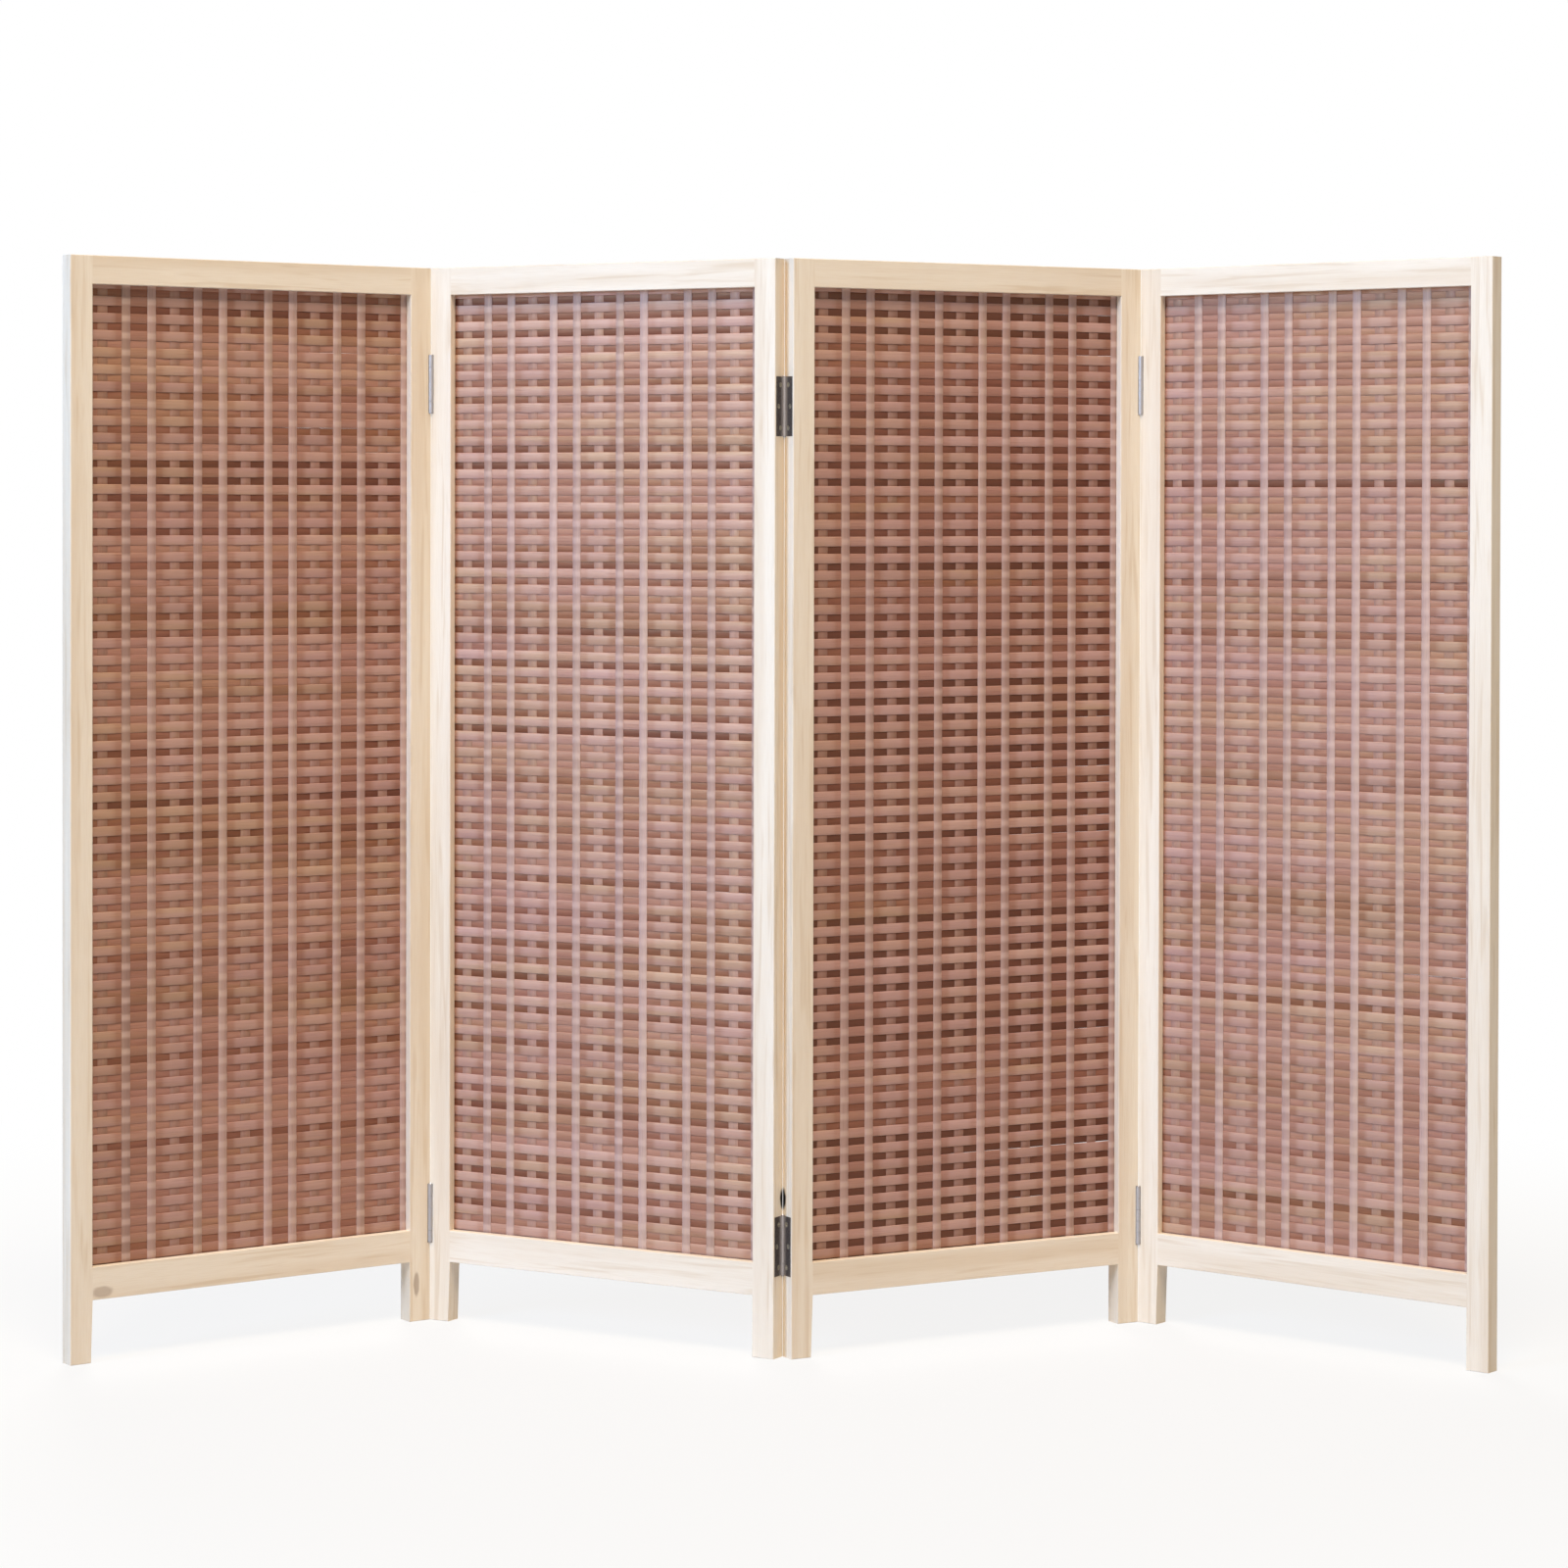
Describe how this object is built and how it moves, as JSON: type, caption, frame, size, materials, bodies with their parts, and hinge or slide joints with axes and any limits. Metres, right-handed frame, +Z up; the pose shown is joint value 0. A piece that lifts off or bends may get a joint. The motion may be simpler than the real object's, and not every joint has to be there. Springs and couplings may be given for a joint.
{
  "type": "folding screen",
  "caption": "Free-standing folding screen: pale wooden frames on short legs, woven slat mats, panels joined by butt hinges to fold in a zigzag.",
  "frame": {"origin": "on the floor, under the middle of the screen's bounding box as it stands half folded", "axes": "+Z up, +X to the right as one faces the front of the screen, -Y towards that viewer"},
  "size_m": [1.5508, 0.302, 1.2],
  "materials": {
    "frame_wood": "bare pale wood, planed and sanded",
    "dowel_wood": "turned hardwood",
    "wide_slats": "stained split bamboo, satin",
    "narrow_slats": "darker stained split bamboo, satin",
    "mat_strips": "pale split strips, matt",
    "hinge_steel": "dark bronzed steel",
    "pin_steel": "worn steel",
    "screw_steel": "zinc-plated steel"
  },
  "bodies": {
    "panel_1": {"panel_1_left_stile": "frame_wood", "panel_1_right_stile": "frame_wood", "panel_1_top_rail": "frame_wood", "panel_1_bottom_rail": "frame_wood", "panel_1_dowels": "dowel_wood", "panel_1_mat_wide_slats": "wide_slats", "panel_1_mat_narrow_slats": "narrow_slats", "panel_1_mat_strips": "mat_strips", "panel_1_mat_beads": "frame_wood", "panel_1_hinge_screws": "screw_steel", "hinge_1_2_lower_left_leaf": "hinge_steel", "hinge_1_2_lower_pin": "pin_steel", "hinge_1_2_upper_left_leaf": "hinge_steel", "hinge_1_2_upper_pin": "pin_steel"},
    "panel_2": {"panel_2_left_stile": "frame_wood", "panel_2_right_stile": "frame_wood", "panel_2_top_rail": "frame_wood", "panel_2_bottom_rail": "frame_wood", "panel_2_dowels": "dowel_wood", "panel_2_mat_wide_slats": "wide_slats", "panel_2_mat_narrow_slats": "narrow_slats", "panel_2_mat_strips": "mat_strips", "panel_2_mat_beads": "frame_wood", "panel_2_hinge_screws": "screw_steel", "hinge_1_2_lower_right_leaf": "hinge_steel", "hinge_1_2_upper_right_leaf": "hinge_steel", "hinge_2_3_lower_left_leaf": "hinge_steel", "hinge_2_3_lower_pin": "pin_steel", "hinge_2_3_upper_left_leaf": "hinge_steel", "hinge_2_3_upper_pin": "pin_steel"},
    "panel_3": {"panel_3_left_stile": "frame_wood", "panel_3_right_stile": "frame_wood", "panel_3_top_rail": "frame_wood", "panel_3_bottom_rail": "frame_wood", "panel_3_dowels": "dowel_wood", "panel_3_mat_wide_slats": "wide_slats", "panel_3_mat_narrow_slats": "narrow_slats", "panel_3_mat_strips": "mat_strips", "panel_3_mat_beads": "frame_wood", "panel_3_hinge_screws": "screw_steel", "hinge_2_3_lower_right_leaf": "hinge_steel", "hinge_2_3_upper_right_leaf": "hinge_steel", "hinge_3_4_lower_left_leaf": "hinge_steel", "hinge_3_4_lower_pin": "pin_steel", "hinge_3_4_upper_left_leaf": "hinge_steel", "hinge_3_4_upper_pin": "pin_steel"},
    "panel_4": {"panel_4_left_stile": "frame_wood", "panel_4_right_stile": "frame_wood", "panel_4_top_rail": "frame_wood", "panel_4_bottom_rail": "frame_wood", "panel_4_dowels": "dowel_wood", "panel_4_mat_wide_slats": "wide_slats", "panel_4_mat_narrow_slats": "narrow_slats", "panel_4_mat_strips": "mat_strips", "panel_4_mat_beads": "frame_wood", "panel_4_hinge_screws": "screw_steel", "hinge_3_4_lower_right_leaf": "hinge_steel", "hinge_3_4_upper_right_leaf": "hinge_steel"}
  },
  "joints": [
    {"name": "fold_1_2", "type": "hinge", "parent": "panel_2", "child": "panel_1", "pos_m": [-0.39757, 0.13378, 0], "axis": [0, 0, 1], "range_deg": [-64.8, 115.2]},
    {"name": "fold_2_3", "type": "hinge", "parent": "panel_2", "child": "panel_3", "pos_m": [0.00506, -0.06889, 0], "axis": [0, 0, 1], "range_deg": [-57.8, 122.2]},
    {"name": "fold_3_4", "type": "hinge", "parent": "panel_3", "child": "panel_4", "pos_m": [0.41047, 0.12814, 0], "axis": [0, 0, -1], "range_deg": [-66.9, 113.1]}
  ]
}
